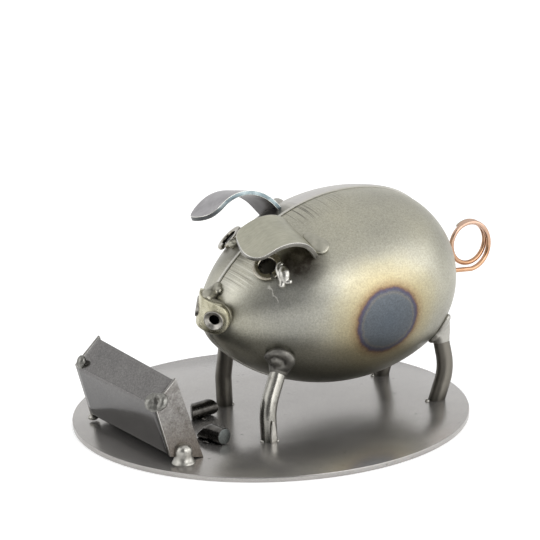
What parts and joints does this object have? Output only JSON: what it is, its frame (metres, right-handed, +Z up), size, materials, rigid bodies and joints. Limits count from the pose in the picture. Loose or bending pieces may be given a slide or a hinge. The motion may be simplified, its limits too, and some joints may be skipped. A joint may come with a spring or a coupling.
{
  "type": "pig figurine",
  "caption": "Welded scrap-steel pig with an egg-shaped hollow body, bent-bar legs, washer eyes and a copper-wire tail, standing on a round plate before a tipped trough.",
  "frame": {"origin": "centre of the round base plate's underside", "axes": "+X from the snout towards the tail, +Y towards the pig's right side, +Z up from the plate"},
  "size_m": [0.1396, 0.12, 0.0714],
  "materials": {
    "plate_steel": "satin, rolled sheet",
    "body_steel": "satin, lightly heat-tinted",
    "ear_steel": "satin with bright cut edges",
    "bar_steel": "bright drawn bar",
    "link_plating": "pale yellow plating",
    "washer_steel": "bright plated",
    "trough_steel": "grey sheet with brown mottling",
    "feed_steel": "black mill scale",
    "copper_wire": "bare copper",
    "weld_metal": "bright weld bead"
  },
  "bodies": {
    "root": {"base_plate": "plate_steel", "body_left_half": "body_steel", "body_right_half": "body_steel", "left_ear": "ear_steel", "right_ear": "ear_steel", "front_left_leg": "bar_steel", "front_right_leg": "bar_steel", "hind_left_leg": "bar_steel", "hind_right_leg": "bar_steel", "snout_front_plate": "link_plating", "snout_back_plate": "link_plating", "left_nostril_bush": "link_plating", "right_nostril_bush": "link_plating", "left_eye_washer": "washer_steel", "right_eye_washer": "washer_steel", "trough_channel": "trough_steel", "trough_left_end": "trough_steel", "trough_right_end": "trough_steel", "upper_feed_bar": "feed_steel", "lower_feed_bar": "feed_steel", "tail_wire": "copper_wire", "snout_weld": "weld_metal", "left_eye_tack": "weld_metal", "right_eye_tack": "weld_metal", "left_ear_weld": "weld_metal", "right_ear_weld": "weld_metal", "tail_tack": "weld_metal", "trough_left_tack": "weld_metal", "trough_right_tack": "weld_metal", "trough_left_base_weld": "weld_metal", "trough_right_base_weld": "weld_metal", "upper_feed_tack": "weld_metal", "lower_feed_tack": "weld_metal", "front_left_leg_weld": "weld_metal", "front_right_leg_weld": "weld_metal", "hind_left_leg_weld": "weld_metal", "hind_right_leg_weld": "weld_metal", "front_left_foot_tack": "weld_metal", "front_right_foot_tack": "weld_metal", "hind_left_foot_tack": "weld_metal", "hind_right_foot_tack": "weld_metal"}
  },
  "joints": []
}
